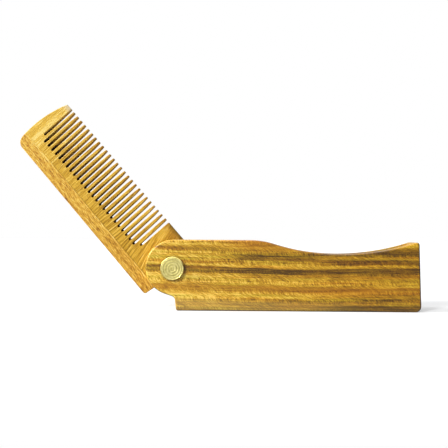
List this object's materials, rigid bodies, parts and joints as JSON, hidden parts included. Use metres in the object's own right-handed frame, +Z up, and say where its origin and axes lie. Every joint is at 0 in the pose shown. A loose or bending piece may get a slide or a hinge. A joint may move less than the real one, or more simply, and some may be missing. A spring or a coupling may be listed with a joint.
{
  "type": "folding comb",
  "caption": "Folding wooden beard comb that turns about a brass screw post and folds, teeth first, into a slotted handle with a finger scoop.",
  "frame": {"origin": "on the flat bottom edge of the handle, midway along the handle's length and in the middle of its thickness", "axes": "+X along the handle to its square end, +Z up from the bottom edge, the front face with the plain brass head looks along -Y"},
  "size_m": [0.177, 0.0156, 0.0907],
  "materials": {
    "handle_wood": "oiled, striped, soft sheen",
    "spacer_wood": "oiled, soft sheen",
    "comb_wood": "polished, soft sheen",
    "spine_wood": "polished, soft sheen",
    "brass": "turned, satin"
  },
  "bodies": {
    "handle": {"scale_front": "handle_wood", "scale_back": "handle_wood", "spacer": "spacer_wood", "pivot_post": "brass", "pivot_screw": "brass", "washer_front": "brass", "washer_back": "brass"},
    "comb": {"comb_spine": "spine_wood", "comb_tooth_board": "comb_wood"}
  },
  "joints": [
    {"name": "comb_fold", "type": "hinge", "parent": "handle", "child": "comb", "pos_m": [-0.04845, 0, 0.0184], "axis": [0, 1, 0], "range_deg": [-49.5, 130.5]}
  ]
}
